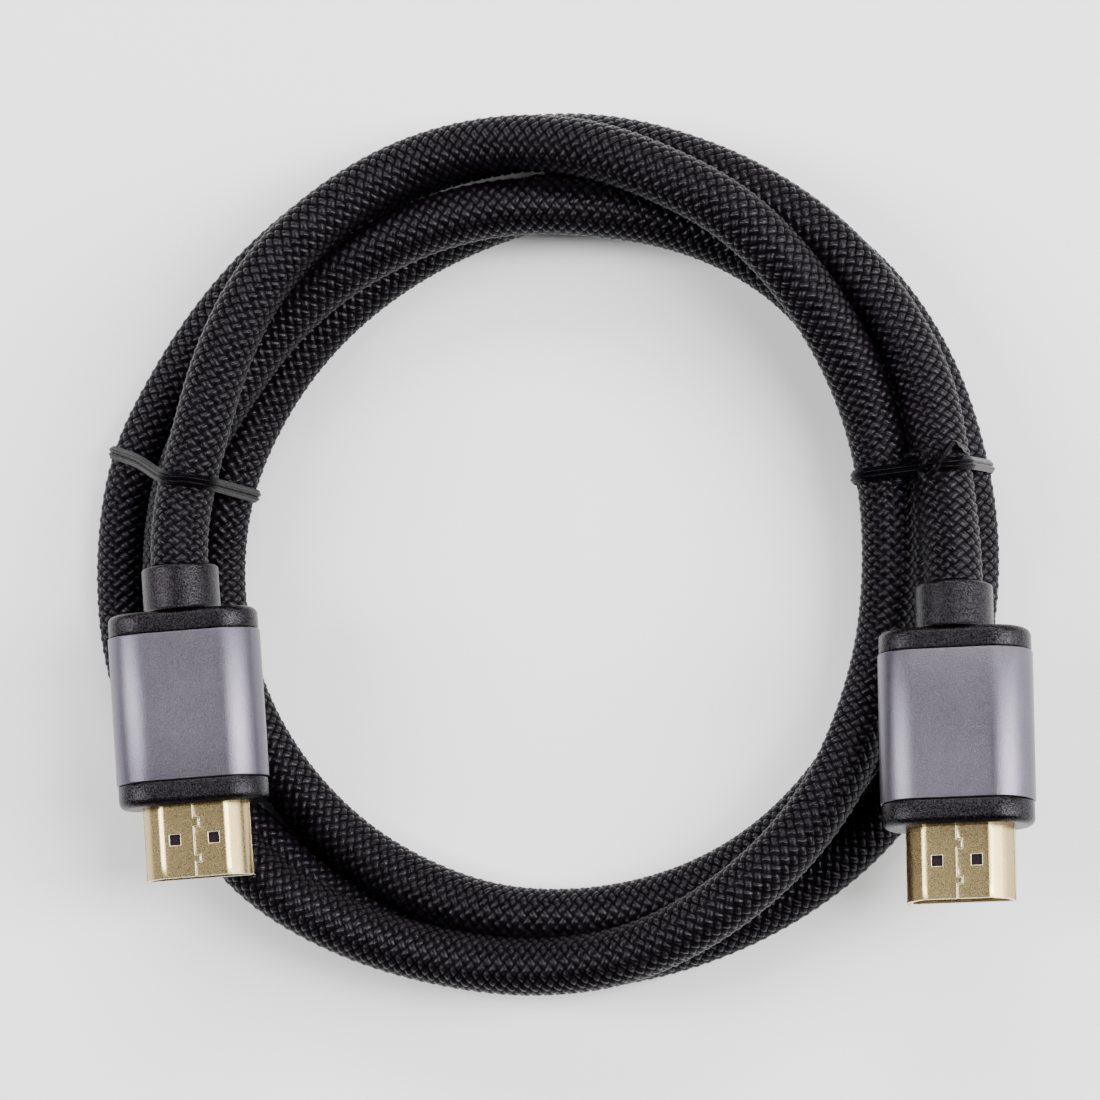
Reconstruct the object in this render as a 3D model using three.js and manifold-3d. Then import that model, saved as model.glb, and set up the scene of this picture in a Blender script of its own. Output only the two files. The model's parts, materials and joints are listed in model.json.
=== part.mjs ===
// A braided video lead with a plug on each end, wound into a flat coil of three and a half turns.
// Two black wire ties hold the coil. The object lies on the floor: +Z is up, and seen from above
// with +Y at the top the plugs lie on the left and the right with their mouths towards -Y.
import * as THREE from 'three';
import { mergeVertices } from 'three/addons/utils/BufferGeometryUtils.js';
import Module from 'manifold-3d';

const wasm = await Module();
wasm.setup();

// Driving dimensions, in millimetres and degrees.
const CABLE_DIAMETER = 7.5;
const CABLE_SIDES = 12;
const STEPS_PER_TURN = 42;
const TURNS = 3.5;
const ROUTE_SAMPLES = 4000;
const PASS_GAP = 0.2;
const JOINT_GAP = 0.3;
const FINE_GAP = 0.12;
const STRAIGHT_LEAD = 3;

const SHELL_WIDTH = 13.9;
const SHELL_HEIGHT = 4.45;
const SHELL_FLAT_WIDTH = 8.5;
const SHELL_SIDE_HEIGHT = 2.3;
const SHELL_CORNER = 0.5;
const SHELL_BEND = 0.25;
const SHELL_SHEET = 0.35;
const SHELL_EXPOSED = 9.3;
const SHELL_BURIED = 5.5;
const WINDOW_WIDTH = 1.4;
const WINDOW_LENGTH = 1.4;
const WINDOW_SPACING = 5.05;
const WINDOW_FROM_MOUTH = 4.9;
const SEAM_WIDTH = 0.12;
const SEAM_STEP = 0.7;
const SEAM_TAB_ENDS = [1.8, 2.8, 6.4, 7.5];

const BODY_WIDTH = 19.8;
const BODY_THICKNESS = 10.4;
const BODY_CORNER = 4.4;
const SLEEVE_LENGTH = 19.2;
const SLEEVE_WALL = 0.8;
const CAP_INSET = 0.35;
const FRONT_CAP_LENGTH = 2.85;
const FRONT_CAP_EDGE = 0.9;
const FRONT_SPIGOT_LENGTH = 2.0;
const REAR_CAP_LENGTH = 2.6;
const REAR_CAP_EDGE = 0.8;
const COLLAR_LENGTH = 5.9;
const COLLAR_DIAMETER = 10.0;
const COLLAR_EDGE = 0.3;
const COLLAR_FOOT = 0.4;
const CUT_MARGIN = 1;

const CONTACT_PITCH = 1.0;
const CONTACT_WIDTH = 0.45;
const CONTACT_SHEET = 0.15;
const CONTACT_SETBACK = 1.6;
const CONTACT_LENGTH = 8.0;
const UPPER_CONTACTS = 9;
const LOWER_CONTACTS = 10;
const TONGUE_SLOT_HEIGHT = 1.6;
const TONGUE_SLOT_WIDTH = 11.4;
const INSULATOR_SETBACK = 1.0;
const INSULATOR_LENGTH = 13.0;
const INSULATOR_BACK = 3.0;

const TIE_WIDTH = 1.9;
const TIE_THICKNESS = 0.7;
const TIE_GAP = 0.4;
const TIE_RIM_POINTS = 24;

// Each tie crosses the bundle's middle at an angle round the coil, and leans off the radius there.
const BUNDLE_RADIUS = 50;
const TIES = {
  left: { angle: 12.6, lean: 0.1 },
  right: { angle: 167, lean: -0.1 },
};

// Where the middle of each collar's end lies, and how the plug is turned there: yaw swings the
// mouth towards +X, pitch lifts the mouth, and roll lifts the +X side.
const PLUG_POSES = {
  left: { collarEnd: [-47.1, -1.9, 18.8], yaw: 4.6, pitch: 3.7, roll: -3.4 },
  right: { collarEnd: [53.6, -5.0, 19.6], yaw: 1.6, pitch: 8.1, roll: 3.8 },
};

// The cable's route, chosen by hand from the left plug to the right one. Each station is an angle
// round the coil, clockwise seen from above and starting at -X, then the distance from the coil's
// axis and the height of the cable's centre line.
const FLOOR = CABLE_DIAMETER / 2;
const PITCH = CABLE_DIAMETER + PASS_GAP;
const ON_TIE = FLOOR + TIE_THICKNESS + TIE_GAP;
const SECOND = FLOOR + PITCH;
const ROUTE = [
  [9, 47.3, 17.9], [20, 47.2, 18.5], [32, 48.9, 18.4], [44, 51.0, 17.4], [56, 52.4, 15.8],
  [70, 53.7, 13.2], [84, 53.6, 14.2], [97, 52.5, 17.2], [109, 51.0, 19.0], [121, 50.1, 19.6],
  [133, 48.5, 18.2], [145, 47.1, 15.1], [157, 46.0, 12.8], [169, 45.3, 12.6], [182, 45.0, 12.0],
  [195, 45.6, 11.5], [207, 46.7, 12.4], [219, 48.5, 14.5], [232, 50.2, 16.1], [245, 51.7, 15.9],
  [258, 53.2, 14.6], [272, 53.8, 12.8], [286, 54.3, SECOND], [299, 55.4, SECOND],
  [312, 56.5, SECOND], [322, 55.9, SECOND], [331, 53.6, 11.0], [341, 51.4, 9.6],
  [352, 50.5, 9.5], [363, 50.0, 9.9], [374, 49.3, 10.9], [386, 47.6, 10.9], [398, 47.0, 10.9],
  [410, 46.5, 11.1], [422, 46.0, SECOND], [434, 45.8, SECOND], [446, 45.6, SECOND],
  [458, 45.5, 11.2], [470, 46.3, 10.4], [482, 47.2, 9.2], [494, 47.7, 8.1],
  [507, 47.2, 5.2], [520, 46.9, ON_TIE], [532, 46.8, ON_TIE], [545, 46.8, FLOOR],
  [558, 47.0, 3.9], [571, 47.2, 4.8], [584, 47.7, 7.4], [597, 48.0, 9.0], [610, 47.8, 9.1],
  [624, 47.5, 8.9], [638, 47.3, 8.1], [652, 46.8, 5.8], [666, 46.6, FLOOR], [680, 46.2, FLOOR],
  [694, 45.9, FLOOR], [708, 45.5, FLOOR], [721, 45.1, FLOOR], [733, 44.5, ON_TIE],
  [745, 44.1, FLOOR], [757, 43.8, FLOOR], [769, 43.8, FLOOR], [782, 44.2, FLOOR],
  [795, 45.2, FLOOR], [808, 46.9, FLOOR], [821, 48.9, FLOOR], [834, 51.2, FLOOR],
  [847, 53.5, FLOOR], [860, 54.7, FLOOR], [873, 54.8, FLOOR], [886, 54.6, ON_TIE],
  [898, 54.7, FLOOR], [911, 54.9, FLOOR], [925, 55.0, FLOOR], [939, 54.7, FLOOR],
  [953, 54.0, FLOOR], [967, 53.4, FLOOR], [981, 53.2, FLOOR], [995, 53.5, FLOOR],
  [1009, 54.0, FLOOR], [1023, 54.25, FLOOR], [1037, 54.3, FLOOR], [1051, 57.2, FLOOR],
  [1065, 58.0, FLOOR], [1079, 57.6, FLOOR], [1093, 56.9, ON_TIE], [1104, 55.7, FLOOR],
  [1113, 55.1, FLOOR], [1125, 54.7, FLOOR], [1138, 54.7, FLOOR], [1151, 54.6, FLOOR],
  [1164, 54.5, 5.0], [1177, 54.3, 8.9], [1189, 54.0, 11.5], [1201, 54.1, 12.9],
  [1213, 54.3, 12.9], [1225, 54.2, 12.1], [1236, 54.0, 12.7], [1246, 53.1, 14.7],
  [1254, 52.9, 17.0],
];

const rad = (degrees) => (degrees * Math.PI) / 180;

function stationPoint([angle, radius, height]) {
  return new THREE.Vector3(-radius * Math.cos(rad(angle)), radius * Math.sin(rad(angle)), height);
}

// A plug's own frame has +X out of the mouth, +Z out of its narrow broad face and its origin in
// the middle of the mouth.
const PLUG_LENGTH = SHELL_EXPOSED + FRONT_CAP_LENGTH + SLEEVE_LENGTH + REAR_CAP_LENGTH
  + COLLAR_LENGTH + 2 * JOINT_GAP;

function plugMatrix({ collarEnd, yaw, pitch, roll }) {
  const turn = new THREE.Matrix4().makeRotationZ(rad(yaw - 90))
    .multiply(new THREE.Matrix4().makeRotationY(rad(-pitch)))
    .multiply(new THREE.Matrix4().makeRotationX(rad(roll)));
  const place = new THREE.Matrix4().makeTranslation(...collarEnd);
  return place.multiply(turn).multiply(new THREE.Matrix4().makeTranslation(PLUG_LENGTH, 0, 0));
}

function cableRoute() {
  const behind = (side, distance) => new THREE.Vector3(-PLUG_LENGTH - JOINT_GAP - distance, 0, 0)
    .applyMatrix4(plugMatrix(PLUG_POSES[side]));
  return [
    behind('left', 0), behind('left', STRAIGHT_LEAD),
    ...ROUTE.map(stationPoint),
    behind('right', STRAIGHT_LEAD), behind('right', 0),
  ];
}

// Solid helpers.
function toManifold(geometry) {
  const bare = geometry.index ? geometry.toNonIndexed() : geometry.clone();
  bare.deleteAttribute('normal');
  bare.deleteAttribute('uv');
  const merged = mergeVertices(bare, 1e-5);
  return new wasm.Manifold(new wasm.Mesh({
    numProp: 3,
    vertProperties: new Float32Array(merged.attributes.position.array),
    triVerts: new Uint32Array(merged.index.array),
  }));
}

function toGeometry(solid) {
  const mesh = solid.getMesh();
  const geometry = new THREE.BufferGeometry();
  geometry.setAttribute('position', new THREE.BufferAttribute(mesh.vertProperties, 3));
  geometry.setIndex(new THREE.BufferAttribute(mesh.triVerts, 1));
  geometry.computeVertexNormals();
  return geometry;
}

// An outline in the plug's cross-section, drawn as (y, z), extruded from x = from to x = to.
function along(shape, from, to, curveSegments = 6) {
  const depth = to - from;
  const geometry = new THREE.ExtrudeGeometry(shape, { depth, bevelEnabled: false, curveSegments });
  geometry.applyMatrix4(new THREE.Matrix4().set(
    0, 0, 1, from,
    1, 0, 0, 0,
    0, 1, 0, 0,
    0, 0, 0, 1,
  ));
  return toManifold(geometry);
}

function block(x0, x1, y0, y1, z0, z1) {
  const geometry = new THREE.BoxGeometry(x1 - x0, y1 - y0, z1 - z0);
  geometry.translate((x0 + x1) / 2, (y0 + y1) / 2, (z0 + z1) / 2);
  return toManifold(geometry);
}

function roundedOutline(width, height, corner) {
  const r = Math.min(corner, width / 2 - FINE_GAP, height / 2 - FINE_GAP);
  const w = width / 2;
  const h = height / 2;
  const shape = new THREE.Shape();
  shape.moveTo(-w + r, -h);
  shape.lineTo(w - r, -h);
  shape.absarc(w - r, -h + r, r, -Math.PI / 2, 0);
  shape.lineTo(w, h - r);
  shape.absarc(w - r, h - r, r, 0, Math.PI / 2);
  shape.lineTo(-w + r, h);
  shape.absarc(-w + r, h - r, r, Math.PI / 2, Math.PI);
  shape.lineTo(-w, -h + r);
  shape.absarc(-w + r, -h + r, r, Math.PI, Math.PI * 1.5);
  return shape;
}

// The shell's outline: full width below, stepping in to the narrow flat above. Offset moves it out.
function shellOutline(offset) {
  const w = SHELL_WIDTH / 2 + offset;
  const low = -SHELL_HEIGHT / 2 - offset;
  const high = SHELL_HEIGHT / 2 + offset;
  const shoulder = -SHELL_HEIGHT / 2 + SHELL_SIDE_HEIGHT;
  const flat = SHELL_FLAT_WIDTH / 2 + offset / 2;
  const corner = Math.max(SHELL_CORNER + offset, SHELL_CORNER / 2);
  const shape = new THREE.Shape();
  shape.moveTo(-w + corner, low);
  shape.lineTo(w - corner, low);
  shape.absarc(w - corner, low + corner, corner, -Math.PI / 2, 0);
  shape.lineTo(w, shoulder - SHELL_CORNER);
  shape.quadraticCurveTo(w, shoulder, w - SHELL_CORNER, shoulder + SHELL_BEND);
  shape.lineTo(flat + SHELL_CORNER, high - SHELL_BEND);
  shape.quadraticCurveTo(flat + SHELL_BEND, high, flat - SHELL_BEND, high);
  shape.lineTo(-flat + SHELL_BEND, high);
  shape.quadraticCurveTo(-flat - SHELL_BEND, high, -flat - SHELL_CORNER, high - SHELL_BEND);
  shape.lineTo(-w + SHELL_CORNER, shoulder + SHELL_BEND);
  shape.quadraticCurveTo(-w, shoulder, -w, shoulder - SHELL_CORNER);
  shape.lineTo(-w, low + corner);
  shape.absarc(-w + corner, low + corner, corner, Math.PI, Math.PI * 1.5);
  return shape;
}

// A block with the body's rounded section whose end edge is rounded over in a few steps.
function roundedEnd(width, thickness, corner, edge, flatFrom, endAt) {
  const direction = Math.sign(endAt - flatFrom);
  const steps = 3;
  let solid = along(roundedOutline(width, thickness, corner),
    Math.min(flatFrom, endAt - direction * edge), Math.max(flatFrom, endAt - direction * edge));
  for (let i = 1; i <= steps; i += 1) {
    const turn = ((i - 0.5) / steps) * (Math.PI / 2);
    const inset = edge * (1 - Math.cos(turn));
    const x0 = endAt - direction * edge * (1 - (i - 1) / steps);
    const x1 = endAt - direction * edge * (1 - i / steps);
    const slice = along(roundedOutline(width - 2 * inset, thickness - 2 * inset, corner - inset),
      Math.min(x0, x1), Math.max(x0, x1));
    solid = solid.add(slice);
  }
  return solid;
}

// Places along a plug's axis, from the mouth backwards.
const CAP_FACE = -SHELL_EXPOSED;
const SLEEVE_FRONT = CAP_FACE - FRONT_CAP_LENGTH - JOINT_GAP;
const SLEEVE_REAR = SLEEVE_FRONT - SLEEVE_LENGTH;
const REAR_CAP_FRONT = SLEEVE_REAR - JOINT_GAP;
const REAR_CAP_REAR = REAR_CAP_FRONT - REAR_CAP_LENGTH;
const COLLAR_REAR = REAR_CAP_REAR - COLLAR_LENGTH;
const CAP_WIDTH = BODY_WIDTH - 2 * CAP_INSET;
const CAP_THICKNESS = BODY_THICKNESS - 2 * CAP_INSET;
const CAP_CORNER = BODY_CORNER - CAP_INSET;
const BORE_WIDTH = BODY_WIDTH - 2 * SLEEVE_WALL;
const BORE_THICKNESS = BODY_THICKNESS - 2 * SLEEVE_WALL;
const BORE_CORNER = BODY_CORNER - SLEEVE_WALL;
const CORE_WIDTH = BORE_WIDTH - 2 * JOINT_GAP;
const CORE_THICKNESS = BORE_THICKNESS - 2 * JOINT_GAP;
const CORE_CORNER = BORE_CORNER - JOINT_GAP;
const SHELL_REAR = CAP_FACE - SHELL_BURIED;
const INSULATOR_REAR = -INSULATOR_SETBACK - INSULATOR_LENGTH;
const CORE_FRONT = Math.min(SHELL_REAR, INSULATOR_REAR, SLEEVE_FRONT - FRONT_SPIGOT_LENGTH)
  - JOINT_GAP;

function sleeveSolid() {
  const outside = roundedOutline(BODY_WIDTH, BODY_THICKNESS, BODY_CORNER);
  const bore = roundedOutline(BORE_WIDTH, BORE_THICKNESS, BORE_CORNER);
  return along(outside, SLEEVE_REAR, SLEEVE_FRONT, 8)
    .subtract(along(bore, SLEEVE_REAR - CUT_MARGIN, SLEEVE_FRONT + CUT_MARGIN, 8));
}

function frontCapSolid() {
  const cap = roundedEnd(CAP_WIDTH, CAP_THICKNESS, CAP_CORNER, FRONT_CAP_EDGE,
    SLEEVE_FRONT + JOINT_GAP, CAP_FACE);
  const spigot = along(roundedOutline(CORE_WIDTH, CORE_THICKNESS, CORE_CORNER),
    SLEEVE_FRONT - FRONT_SPIGOT_LENGTH, SLEEVE_FRONT + JOINT_GAP + FRONT_CAP_LENGTH / 2);
  const passage = along(shellOutline(JOINT_GAP), SHELL_REAR - CUT_MARGIN, CUT_MARGIN);
  return cap.add(spigot).subtract(passage);
}

// The strain relief, the rear cap and the core inside the sleeve are moulded as one piece.
function overmouldSolid() {
  const cap = roundedEnd(CAP_WIDTH, CAP_THICKNESS, CAP_CORNER, REAR_CAP_EDGE,
    REAR_CAP_FRONT, REAR_CAP_REAR);
  const core = along(roundedOutline(CORE_WIDTH, CORE_THICKNESS, CORE_CORNER),
    REAR_CAP_FRONT - REAR_CAP_LENGTH / 2, CORE_FRONT);
  const r = COLLAR_DIAMETER / 2;
  const profile = [
    [0, COLLAR_REAR], [r - COLLAR_EDGE, COLLAR_REAR], [r, COLLAR_REAR + COLLAR_EDGE],
    [r, REAR_CAP_REAR - COLLAR_FOOT], [r + COLLAR_FOOT, REAR_CAP_REAR + COLLAR_FOOT / 2],
    [0, REAR_CAP_REAR + REAR_CAP_LENGTH / 2],
  ].map(([radius, x]) => new THREE.Vector2(radius, x));
  const collar = new THREE.LatheGeometry(profile, 36);
  collar.rotateZ(-Math.PI / 2);
  return cap.add(core).add(toManifold(collar));
}

function seamCutter() {
  const cuts = [];
  const above = SHELL_HEIGHT / 2 - SHELL_SHEET * 2;
  const top = SHELL_HEIGHT / 2 + CUT_MARGIN;
  const half = SEAM_WIDTH / 2;
  const [a0, a1, b0, b1] = SEAM_TAB_ENDS;
  const runs = [
    [-CUT_MARGIN, a0, 0], [a0, a1, SEAM_STEP], [a1, b0, 0],
    [b0, b1, SEAM_STEP], [b1, SHELL_EXPOSED, 0],
  ];
  for (const [from, to, side] of runs) {
    cuts.push(block(-to - half, -from + half, side - half, side + half, above, top));
  }
  for (const at of SEAM_TAB_ENDS) {
    cuts.push(block(-at - half, -at + half, -half, SEAM_STEP + half, above, top));
  }
  return cuts.reduce((all, cut) => all.add(cut));
}

function shellSolid() {
  let solid = along(shellOutline(0), SHELL_REAR, 0)
    .subtract(along(shellOutline(-SHELL_SHEET), SHELL_REAR - CUT_MARGIN, CUT_MARGIN));
  for (const side of [-1, 1]) {
    const y = (side * WINDOW_SPACING) / 2;
    solid = solid.subtract(block(
      -WINDOW_FROM_MOUTH - WINDOW_LENGTH / 2, -WINDOW_FROM_MOUTH + WINDOW_LENGTH / 2,
      y - WINDOW_WIDTH / 2, y + WINDOW_WIDTH / 2, -SHELL_HEIGHT, SHELL_HEIGHT,
    ));
  }
  return solid.subtract(seamCutter());
}

function insulatorSolid() {
  const front = -INSULATOR_SETBACK;
  const lining = along(shellOutline(-SHELL_SHEET - FINE_GAP), front - INSULATOR_LENGTH, front);
  const slot = block(front - INSULATOR_LENGTH + INSULATOR_BACK, CUT_MARGIN,
    -TONGUE_SLOT_WIDTH / 2, TONGUE_SLOT_WIDTH / 2,
    -TONGUE_SLOT_HEIGHT / 2, TONGUE_SLOT_HEIGHT / 2);
  return lining.subtract(slot);
}

function contactGeometry(index, count, side) {
  const geometry = new THREE.BoxGeometry(CONTACT_LENGTH, CONTACT_WIDTH, CONTACT_SHEET);
  const y = (index - (count - 1) / 2) * CONTACT_PITCH;
  const z = side * (TONGUE_SLOT_HEIGHT / 2 - FINE_GAP - CONTACT_SHEET / 2);
  geometry.translate(-CONTACT_SETBACK - CONTACT_LENGTH / 2, y, z);
  return geometry;
}

// The ties. A tie lies in a plane that cuts the bundle, pulled taut round the passes that it
// crosses, so its path is the outline of a string round their sections.
function sectionCentres(curve, { angle, lean }, offset) {
  const normal = new THREE.Vector3(Math.sin(rad(angle)), Math.cos(rad(angle)), 0);
  const outward = new THREE.Vector3(-Math.cos(rad(angle)), Math.sin(rad(angle)), 0);
  const side = (point) => point.dot(normal) - lean * (point.dot(outward) - BUNDLE_RADIUS) - offset;
  const points = curve.getSpacedPoints(ROUTE_SAMPLES);
  const centres = [];
  for (let i = 1; i < points.length; i += 1) {
    const crosses = side(points[i - 1]) < 0 !== side(points[i]) < 0;
    if (crosses && points[i].dot(outward) > 0) {
      centres.push(new THREE.Vector2(points[i].dot(outward), points[i].z));
    }
  }
  return centres;
}

function tautOutline(centres, radius) {
  const rim = [];
  for (const centre of centres) {
    for (let i = 0; i < TIE_RIM_POINTS; i += 1) {
      const turn = (i / TIE_RIM_POINTS) * Math.PI * 2;
      const spoke = new THREE.Vector2(Math.cos(turn), Math.sin(turn)).multiplyScalar(radius);
      rim.push(spoke.add(centre));
    }
  }
  rim.sort((p, q) => p.x - q.x || p.y - q.y);
  const cross = (o, p, q) => (p.x - o.x) * (q.y - o.y) - (p.y - o.y) * (q.x - o.x);
  const chain = (points) => {
    const kept = [];
    for (const point of points) {
      while (kept.length > 1 && cross(kept[kept.length - 2], kept[kept.length - 1], point) <= 0) {
        kept.pop();
      }
      kept.push(point);
    }
    return kept.slice(0, -1);
  };
  return [...chain(rim), ...chain([...rim].reverse())];
}

function material(color, roughness, metalness) {
  return new THREE.MeshStandardMaterial({ color, roughness, metalness });
}

const lead = new THREE.Group();

function addMesh(name, geometry, finish, parent = lead) {
  const mesh = new THREE.Mesh(geometry, finish);
  mesh.name = name;
  parent.add(mesh);
}

function addPlug(side) {
  const plug = new THREE.Group();
  plug.applyMatrix4(plugMatrix(PLUG_POSES[side]));
  lead.add(plug);
  addMesh(`${side}_overmould`, toGeometry(overmouldSolid()), material(0x1b1a1e, 0.55, 0), plug);
  addMesh(`${side}_sleeve`, toGeometry(sleeveSolid()), material(0x8a8690, 0.35, 1), plug);
  addMesh(`${side}_front_cap`, toGeometry(frontCapSolid()), material(0x1b1a1e, 0.55, 0), plug);
  addMesh(`${side}_shell`, toGeometry(shellSolid()), material(0xd9bf86, 0.25, 1), plug);
  addMesh(`${side}_insulator`, toGeometry(insulatorSolid()), material(0x111113, 0.5, 0), plug);
  for (const [row, count, face] of [['upper', UPPER_CONTACTS, 1], ['lower', LOWER_CONTACTS, -1]]) {
    for (let i = 0; i < count; i += 1) {
      const contact = contactGeometry(i, count, face);
      addMesh(`${side}_${row}_contact_${i + 1}`, contact, material(0xe0c070, 0.3, 1), plug);
    }
  }
}

const cableCurve = new THREE.CatmullRomCurve3(cableRoute(), false, 'centripetal');

function cableGeometry() {
  const section = new THREE.Shape();
  for (let i = 0; i < CABLE_SIDES; i += 1) {
    const turn = ((i + 0.5) / CABLE_SIDES) * Math.PI * 2;
    const point = [Math.cos(turn) * CABLE_DIAMETER / 2, Math.sin(turn) * CABLE_DIAMETER / 2];
    if (i === 0) {
      section.moveTo(...point);
    } else {
      section.lineTo(...point);
    }
  }
  section.closePath();
  const steps = Math.round(STEPS_PER_TURN * TURNS);
  return new THREE.ExtrudeGeometry(section, { steps, extrudePath: cableCurve, bevelEnabled: false });
}

function tieGeometry(tie) {
  const { angle, lean } = tie;
  const offsets = [-TIE_WIDTH / 2, 0, TIE_WIDTH / 2];
  const centres = offsets.flatMap((offset) => sectionCentres(cableCurve, tie, offset));
  const inner = CABLE_DIAMETER / 2 + TIE_GAP;
  const band = new THREE.Shape(tautOutline(centres, inner + TIE_THICKNESS));
  band.holes.push(new THREE.Path(tautOutline(centres, inner)));
  const geometry = new THREE.ExtrudeGeometry(band, { depth: TIE_WIDTH, bevelEnabled: false });
  geometry.applyMatrix4(new THREE.Matrix4().set(
    1, 0, 0, 0,
    0, 1, 0, 0,
    lean, 0, 1, -TIE_WIDTH / 2 - lean * BUNDLE_RADIUS,
    0, 0, 0, 1,
  ));
  const cos = Math.cos(rad(angle));
  const sin = Math.sin(rad(angle));
  geometry.applyMatrix4(new THREE.Matrix4().set(
    -cos, 0, sin, 0,
    sin, 0, cos, 0,
    0, 1, 0, 0,
    0, 0, 0, 1,
  ));
  return toGeometry(toManifold(geometry));
}

addMesh('cable', cableGeometry(), material(0x1d1a1f, 0.7, 0));
addPlug('left');
addPlug('right');
for (const side of ['left', 'right']) {
  addMesh(`${side}_tie`, tieGeometry(TIES[side]), material(0x151417, 0.3, 0));
}

lead.updateMatrixWorld(true);
const box = new THREE.Box3().setFromObject(lead, true);
lead.position.set(-(box.min.x + box.max.x) / 2, -(box.min.y + box.max.y) / 2, -box.min.z);

export default lead;
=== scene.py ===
import json
import math

import bmesh
import bpy
import numpy as np
from mathutils import Matrix, Vector


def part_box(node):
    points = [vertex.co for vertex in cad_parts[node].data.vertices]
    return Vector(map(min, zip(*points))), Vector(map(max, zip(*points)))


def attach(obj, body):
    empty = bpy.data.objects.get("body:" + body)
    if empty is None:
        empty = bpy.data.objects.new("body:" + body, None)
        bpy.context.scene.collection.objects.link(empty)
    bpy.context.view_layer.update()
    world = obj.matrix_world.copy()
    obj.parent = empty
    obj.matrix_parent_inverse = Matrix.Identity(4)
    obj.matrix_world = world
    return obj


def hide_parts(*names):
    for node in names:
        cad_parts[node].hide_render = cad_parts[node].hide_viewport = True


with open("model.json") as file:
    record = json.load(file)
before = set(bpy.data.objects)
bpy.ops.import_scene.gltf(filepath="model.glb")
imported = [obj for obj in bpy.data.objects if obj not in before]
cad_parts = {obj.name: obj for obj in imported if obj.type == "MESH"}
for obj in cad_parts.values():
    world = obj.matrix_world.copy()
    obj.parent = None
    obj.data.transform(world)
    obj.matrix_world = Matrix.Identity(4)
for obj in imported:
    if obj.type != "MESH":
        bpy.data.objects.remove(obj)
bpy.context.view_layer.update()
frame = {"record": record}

MM = 0.001

# The camera, in millimetres and degrees. It hangs over the coil and leans a little to one side.
VIEW_DISTANCE = 800.0
FOCAL_PIXELS = 6060.0
IMAGE_PIXELS = 1100.0
SENSOR_WIDTH = 36.0
LEAN_TOWARDS_FRONT = 3.0
LEAN_TOWARDS_RIGHT = 8.0
AIM = (0.0, 0.6, 8.0)

# The cable.
CABLE_DIAMETER = 7.5
JOINT_GAP = 0.3
FLOOR = CABLE_DIAMETER / 2
PASS_GAP = 0.2
ROOM_FOR_TIE = 1.1
ON_TIE = FLOOR + ROOM_FOR_TIE
SECOND = FLOOR + CABLE_DIAMETER + PASS_GAP
STRAIGHT_LEAD = 3.0
CABLE_END_GAP = 0.03
ROUTE_STEP = 0.15
BEND_SMOOTHING_STEPS = 20

# Each station is an angle round the coil, clockwise seen from above and starting at -X, the
# distance from the coil's axis and the height of the cable's centre line.
ROUTE = [
    [9, 47.3, 17.9], [20, 47.2, 18.5], [32, 48.9, 18.4], [44, 51.0, 17.4], [56, 52.4, 15.8],
    [70, 53.7, 13.2], [84, 53.6, 14.2], [97, 52.5, 17.2], [109, 51.0, 19.0], [121, 50.1, 19.6],
    [133, 48.5, 18.2], [145, 47.1, 15.1], [157, 46.0, 12.8], [169, 45.3, 12.6], [182, 45.0, 12.0],
    [195, 45.6, 11.5], [207, 46.7, 12.4], [219, 48.5, 14.5], [232, 50.2, 16.1], [245, 51.7, 15.9],
    [258, 53.2, 14.6], [272, 53.8, 12.8], [286, 54.3, SECOND], [299, 55.4, SECOND],
    [312, 56.5, SECOND], [322, 55.9, SECOND], [331, 53.6, 11.0], [341, 51.4, 9.6],
    [352, 50.5, 9.5], [363, 50.0, 9.9], [374, 49.3, 10.9], [386, 47.6, 10.9], [398, 47.0, 10.9],
    [410, 46.5, 11.1], [422, 46.0, SECOND], [434, 45.8, SECOND], [446, 45.6, SECOND],
    [458, 45.5, 11.2], [470, 46.3, 10.4], [482, 47.2, 9.2], [494, 47.7, 8.1],
    [507, 47.2, 5.2], [520, 46.9, ON_TIE], [532, 46.8, ON_TIE], [545, 46.8, FLOOR],
    [558, 47.0, 3.9], [571, 47.2, 4.8], [584, 47.7, 7.4], [597, 48.0, 9.0], [610, 47.8, 9.1],
    [624, 47.5, 8.9], [638, 47.3, 8.1], [652, 46.8, 5.8], [666, 46.6, FLOOR], [680, 46.2, FLOOR],
    [694, 45.9, FLOOR], [708, 45.5, FLOOR], [721, 45.1, FLOOR], [733, 44.5, ON_TIE],
    [745, 44.1, FLOOR], [757, 43.8, FLOOR], [769, 43.8, FLOOR], [782, 44.2, FLOOR],
    [795, 45.2, FLOOR], [808, 46.9, FLOOR], [821, 48.9, FLOOR], [834, 51.2, FLOOR],
    [847, 53.5, FLOOR], [860, 54.7, FLOOR], [873, 54.8, FLOOR], [886, 54.6, ON_TIE],
    [898, 54.7, FLOOR], [911, 54.9, FLOOR], [925, 55.0, FLOOR], [939, 54.7, FLOOR],
    [953, 54.0, FLOOR], [967, 53.4, FLOOR], [981, 53.2, FLOOR], [995, 53.5, FLOOR],
    [1009, 54.0, FLOOR], [1023, 54.25, FLOOR], [1037, 54.3, FLOOR], [1051, 57.2, FLOOR],
    [1065, 58.0, FLOOR], [1079, 57.6, FLOOR], [1093, 56.9, ON_TIE], [1104, 55.7, FLOOR],
    [1113, 55.1, FLOOR], [1125, 54.7, FLOOR], [1138, 54.7, FLOOR], [1151, 54.6, FLOOR],
    [1164, 54.5, 5.0], [1177, 54.3, 8.9], [1189, 54.0, 11.5], [1201, 54.1, 12.9],
    [1213, 54.3, 12.9], [1225, 54.2, 12.1], [1236, 54.0, 12.7], [1246, 53.1, 14.7],
    [1254, 52.9, 17.0],
]

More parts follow.
